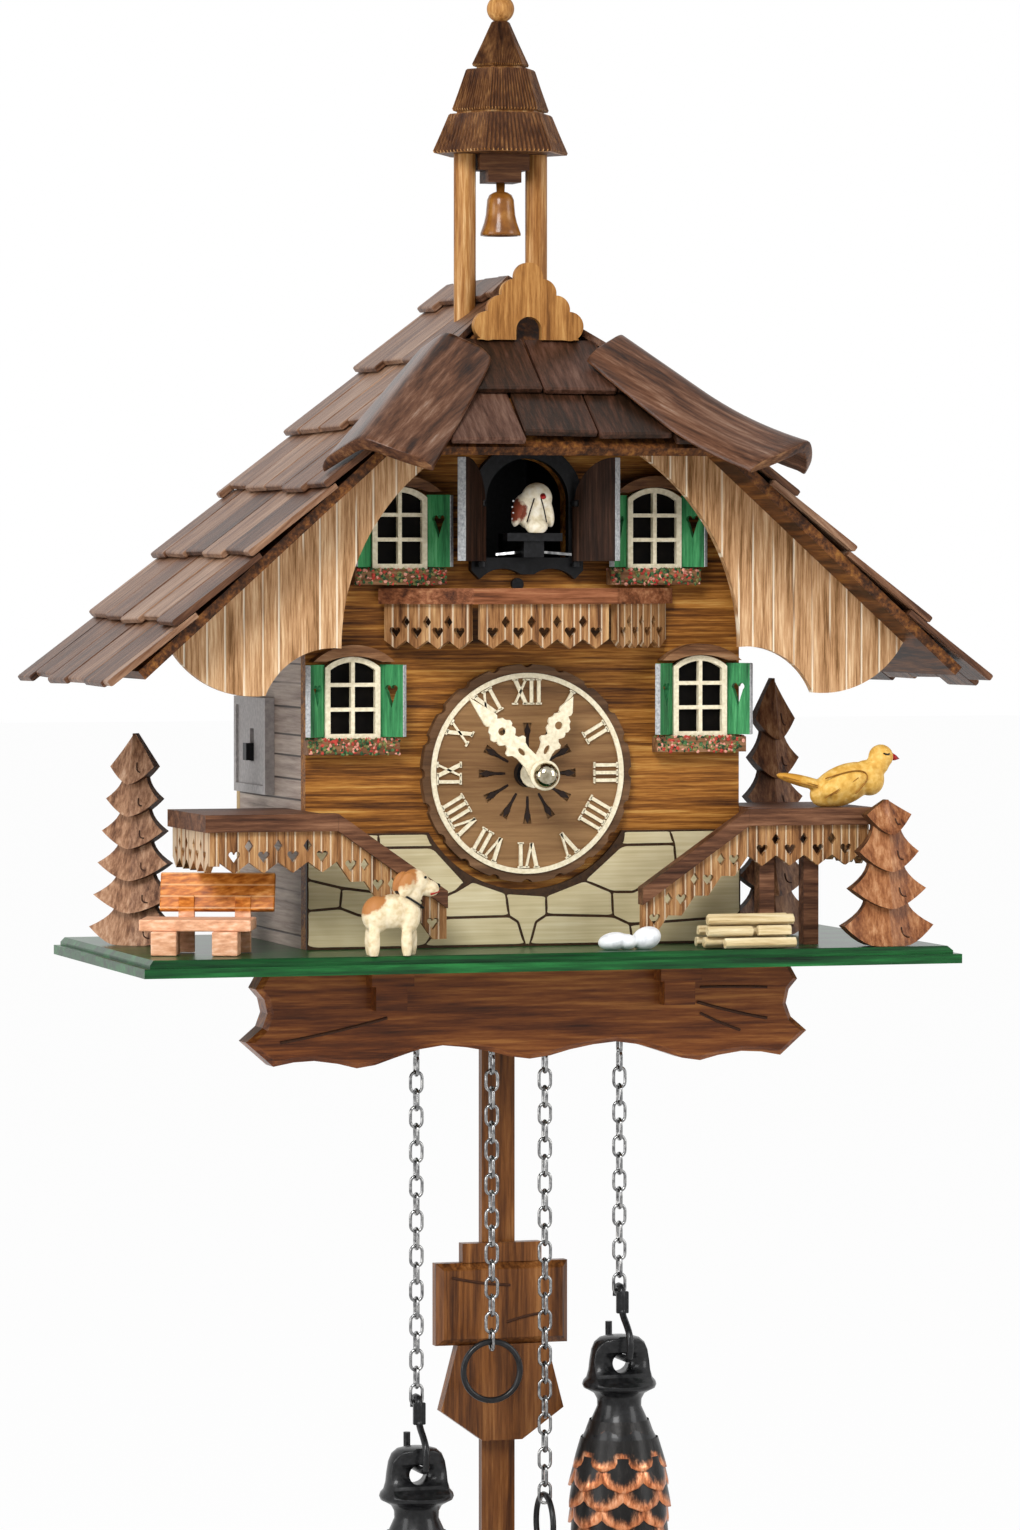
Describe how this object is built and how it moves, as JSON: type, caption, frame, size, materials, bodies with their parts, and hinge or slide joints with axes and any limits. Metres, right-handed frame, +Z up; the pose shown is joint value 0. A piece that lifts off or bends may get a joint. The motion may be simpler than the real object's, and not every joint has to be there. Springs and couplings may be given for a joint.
{
  "type": "cuckoo clock",
  "caption": "Chalet cuckoo clock with a shingled hip roof, bell tower, balcony, opening cuckoo doors, dial, pendulum and pine-cone weights on chains.",
  "frame": {"origin": "middle of the hanging hole on the back panel's rear face, which lies on the wall", "axes": "+X to the viewer's right, +Y into the wall, +Z up"},
  "size_m": [0.2666, 0.1327, 0.5134],
  "materials": {
    "brown_wood": "satin stain",
    "dark_wood": "dark stain",
    "oak_wood": "clear lacquer",
    "shingle_wood": "weathered stain",
    "grey_wood": "grey stain",
    "green_paint": "gloss paint",
    "shutter_green": "satin paint",
    "black_plastic": "matt black",
    "grey_plastic": "matt grey",
    "cream_plastic": "cream",
    "glass_black": "black backing",
    "stone_print": "printed stone pattern",
    "chain_metal": "bright nickel",
    "dark_metal": "black",
    "iron": "black with copper highlights",
    "brass_bell": "turned and lacquered",
    "cell_wrap": "printed wrap",
    "figure_paint": "painted",
    "yellow_paint": "painted",
    "flower_mix": "scattered flock"
  },
  "bodies": {
    "case": {"base_plate": "green_paint", "apron_board": "brown_wood", "front_wall": "brown_wood", "left_wall": "grey_wood", "right_wall": "grey_wood", "back_panel": "brown_wood", "roof_board_left": "dark_wood", "roof_board_right": "dark_wood", "roof_hip_board": "dark_wood", "shingles_left": "shingle_wood", "shingles_right": "shingle_wood", "shingles_hip": "shingle_wood", "hip_caps": "dark_wood", "crest": "brown_wood", "gable_panels": "oak_wood", "tower_posts": "oak_wood", "bell_beam": "dark_wood", "tower_roof": "dark_wood", "bell": "brass_bell", "dial_disc": "brown_wood", "numeral_ring": "cream_plastic", "quartz_movement": "black_plastic", "battery_cell": "cell_wrap", "door_surround": "black_plastic", "cuckoo_box": "black_plastic", "window_panes": "glass_black", "window_frames": "cream_plastic", "shutters": "shutter_green", "window_lintels": "brown_wood", "flower_boxes": "flower_mix", "balcony_pickets": "oak_wood", "balcony_cap": "brown_wood", "stone_plinth": "stone_print", "rail_caps": "dark_wood", "rail_pickets": "oak_wood", "carved_trees": "brown_wood", "bench": "brown_wood", "dog": "figure_paint", "log_pile": "oak_wood", "pebbles": "figure_paint", "yellow_bird": "yellow_paint", "switch_plate": "grey_plastic", "chain_stubs": "chain_metal"},
    "minute_hands": {"minute_hand": "cream_plastic", "hand_arbor": "dark_metal"},
    "hour_hands": {"hour_hand": "cream_plastic"},
    "cuckoo_slider": {"bird_carriage": "black_plastic", "cuckoo_bird": "figure_paint", "door_wires": "chain_metal"},
    "left_leaf": {"left_door": "dark_wood"},
    "right_leaf": {"right_door": "dark_wood"},
    "switch_slider": {"switch_knob": "black_plastic"},
    "pendulum": {"pendulum_rod": "brown_wood", "pendulum_bob": "brown_wood"},
    "left_chain": {"chain_left": "chain_metal", "ring_left": "dark_metal"},
    "right_chain": {"chain_right": "chain_metal", "ring_right": "dark_metal"},
    "left_weight": {"cone_left": "iron"},
    "right_weight": {"cone_right": "iron"}
  },
  "joints": [
    {"name": "minute_turn", "type": "hinge", "parent": "case", "child": "minute_hands", "pos_m": [0, -0.08, -0.0702], "axis": [0, 1, 0], "continuous": true},
    {"name": "hour_turn", "type": "hinge", "parent": "case", "child": "hour_hands", "pos_m": [0, -0.08, -0.0702], "axis": [0, 1, 0], "continuous": true},
    {"name": "cuckoo_slide", "type": "slide", "parent": "case", "child": "cuckoo_slider", "axis": [0, 1, 0], "range_m": [0, 0.016]},
    {"name": "left_door_swing", "type": "hinge", "parent": "case", "child": "left_leaf", "pos_m": [-0.01415, -0.08465, 0], "axis": [0, 0, 1], "range_deg": [0, 130.1]},
    {"name": "right_door_swing", "type": "hinge", "parent": "case", "child": "right_leaf", "pos_m": [0.01415, -0.08465, 0], "axis": [0, 0, 1], "range_deg": [-130.1, 0]},
    {"name": "switch_slide", "type": "slide", "parent": "case", "child": "switch_slider", "axis": [0, 0, 1], "range_m": [0, 0.004]},
    {"name": "pendulum_swing", "type": "hinge", "parent": "case", "child": "pendulum", "pos_m": [0, -0.052, -0.09], "axis": [0, 1, 0], "range_deg": [-4, 4]},
    {"name": "left_chain_swing", "type": "hinge", "parent": "case", "child": "left_chain", "pos_m": [0, -0.074, -0.1515], "axis": [-1, 0, 0], "range_deg": [-0.5, 12]},
    {"name": "right_chain_swing", "type": "hinge", "parent": "case", "child": "right_chain", "pos_m": [0, -0.074, -0.1515], "axis": [-1, 0, 0], "range_deg": [-0.5, 12]},
    {"name": "left_weight_swing", "type": "hinge", "parent": "left_chain", "child": "left_weight", "pos_m": [-0.0306, -0.074, -0.2701], "axis": [0, 1, 0], "range_deg": [-5, 5]},
    {"name": "right_weight_swing", "type": "hinge", "parent": "right_chain", "child": "right_weight", "pos_m": [0.0306, -0.074, -0.2401], "axis": [0, 1, 0], "range_deg": [-5, 5]}
  ],
  "couplings": [
    {"joint": "hour_turn", "follows": "minute_turn", "ratio": 0.083333},
    {"joint": "left_door_swing", "follows": "cuckoo_slide", "rad_per_m": 141.81},
    {"joint": "right_door_swing", "follows": "cuckoo_slide", "rad_per_m": -141.81}
  ]
}
